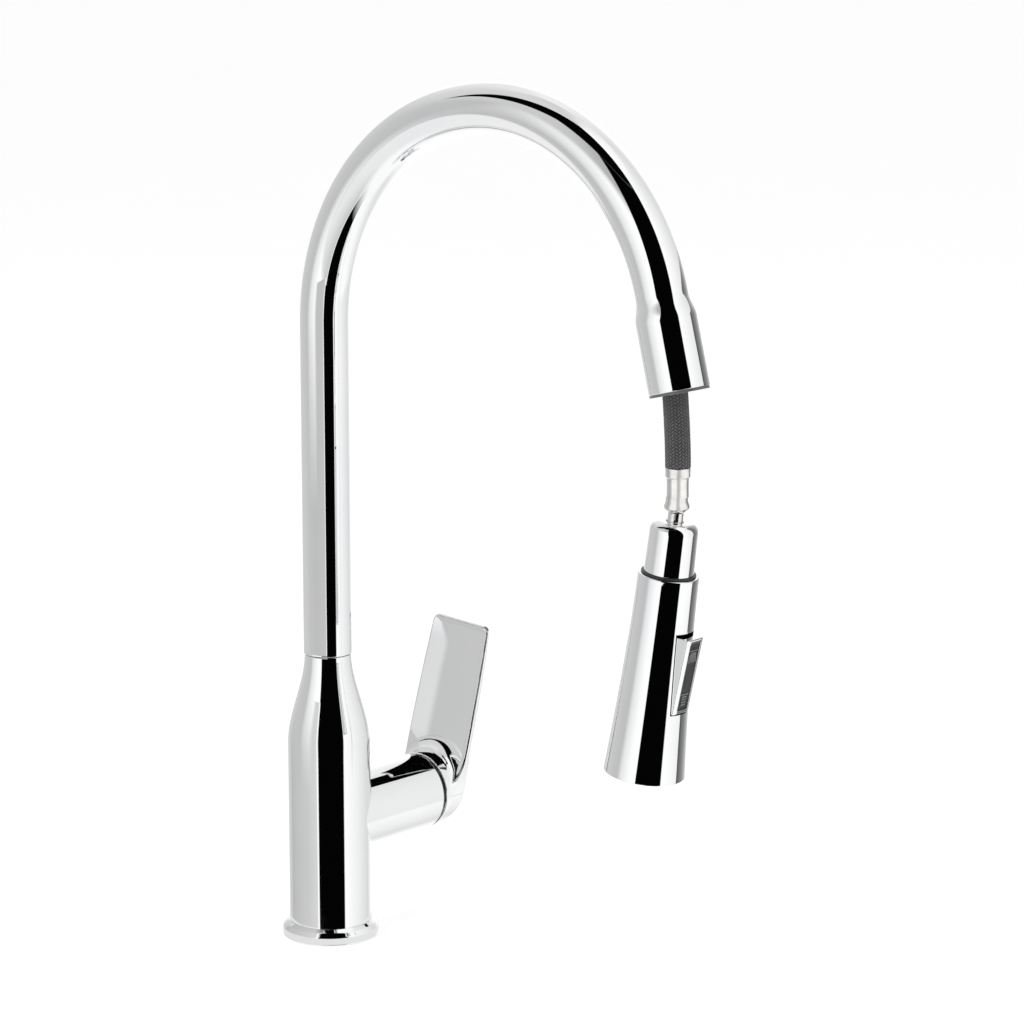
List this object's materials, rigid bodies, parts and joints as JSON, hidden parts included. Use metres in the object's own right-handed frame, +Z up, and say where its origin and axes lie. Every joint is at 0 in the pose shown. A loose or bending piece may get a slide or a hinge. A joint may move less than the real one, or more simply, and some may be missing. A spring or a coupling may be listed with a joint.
{
  "type": "pull down kitchen faucet",
  "caption": "Single lever kitchen mixer tap with a swivelling gooseneck spout and a pull-out spray head on a braided hose.",
  "frame": {"origin": "centre of the foot on the face that rests on the deck", "axes": "+Z up along the riser, +X the way the spout points, +Y the side with the lever"},
  "size_m": [0.2985, 0.1461, 0.5],
  "materials": {
    "chrome_plate": "polished chrome plate",
    "steel": "turned stainless steel",
    "brass_part": "machined brass",
    "white_plastic": "moulded acetal",
    "ceramic_disc": "lapped alumina ceramic",
    "black_rubber": "moulded rubber",
    "black_plastic": "satin moulded plastic",
    "dark_insert": "soft grey moulded plastic",
    "grey_plastic": "satin grey plastic",
    "braided_nylon": "herringbone braided nylon sleeve"
  },
  "bodies": {
    "body": {"base_gasket": "black_rubber", "base_ring": "chrome_plate", "body_shell": "chrome_plate", "foot_plug": "brass_part", "hose_guide": "white_plastic", "cartridge_housing": "white_plastic", "cartridge_seals": "black_rubber", "fixed_disc": "ceramic_disc", "cartridge_nut": "brass_part", "boss_gap_ring": "black_plastic", "swivel_bush": "white_plastic", "spout_screw": "steel"},
    "spout": {"spout_tube": "chrome_plate", "spout_seals": "black_rubber", "dock_collar": "chrome_plate", "dock_insert": "grey_plastic", "hose_inner": "braided_nylon"},
    "hose": {"hose_outer": "braided_nylon"},
    "hose_end": {"hose_ferrule": "steel", "hose_swivel_nut": "steel"},
    "spray_head": {"hose_stem": "steel", "neck_cap": "chrome_plate", "neck_ring": "black_plastic", "spray_shell": "chrome_plate", "water_core": "black_plastic", "check_valve": "grey_plastic", "rocker_pin": "steel", "spray_plate": "grey_plastic", "spray_nozzles": "black_rubber", "aerator": "white_plastic"},
    "rocker": {"rocker_frame": "chrome_plate", "rocker_insert": "dark_insert", "rocker_pads": "dark_insert"},
    "diverter": {"diverter_spool": "white_plastic"},
    "cartridge_turner": {"cartridge_rotor": "white_plastic", "rotor_pin": "steel"},
    "ceramic_slider": {"moving_disc": "ceramic_disc"},
    "lever": {"cartridge_stem": "steel", "handle_lever": "chrome_plate", "handle_set_screw": "steel", "screw_cap": "grey_plastic"}
  },
  "joints": [
    {"name": "spout_swivel", "type": "hinge", "parent": "body", "child": "spout", "pos_m": [0, 0, 0.15], "axis": [0, 0, 1], "range_deg": [-180, 180]},
    {"name": "hose_swing", "type": "hinge", "parent": "spout", "child": "hose", "pos_m": [0.07916, 0, 0.31714], "axis": [0, -1, 0], "range_deg": [0, 21.9], "deforming": ["hose_outer"]},
    {"name": "hose_pull", "type": "slide", "parent": "hose", "child": "hose_end", "axis": [0.1374, 0, 0.9905], "range_m": [-0.3, 0.0262], "deforming": ["hose_outer"]},
    {"name": "head_swivel", "type": "hinge", "parent": "hose_end", "child": "spray_head", "pos_m": [0.2528, 0, 0.2772], "axis": [0.1374, 0, 0.9905], "continuous": true},
    {"name": "rocker_tilt", "type": "hinge", "parent": "spray_head", "child": "rocker", "pos_m": [0.25669, 0, 0.1961], "axis": [0, 1, 0], "range_deg": [-4, 4]},
    {"name": "diverter_shift", "type": "slide", "parent": "spray_head", "child": "diverter", "axis": [0.1374, 0, 0.9905], "range_m": [-0.0016, 0.0016]},
    {"name": "handle_turn", "type": "hinge", "parent": "body", "child": "cartridge_turner", "pos_m": [0, 0.058, 0.0693], "axis": [0, 1, 0], "range_deg": [-45, 45]},
    {"name": "handle_lift", "type": "hinge", "parent": "cartridge_turner", "child": "lever", "pos_m": [0, 0.058, 0.0693], "axis": [-1, 0, 0], "range_deg": [0, 25]},
    {"name": "disc_slide", "type": "slide", "parent": "cartridge_turner", "child": "ceramic_slider", "axis": [0, 0, 1], "range_m": [-0.0001, 0.0056]}
  ],
  "couplings": [
    {"joint": "diverter_shift", "follows": "rocker_tilt", "m_per_rad": -0.0215},
    {"joint": "disc_slide", "follows": "handle_lift", "m_per_rad": 0.0126}
  ]
}
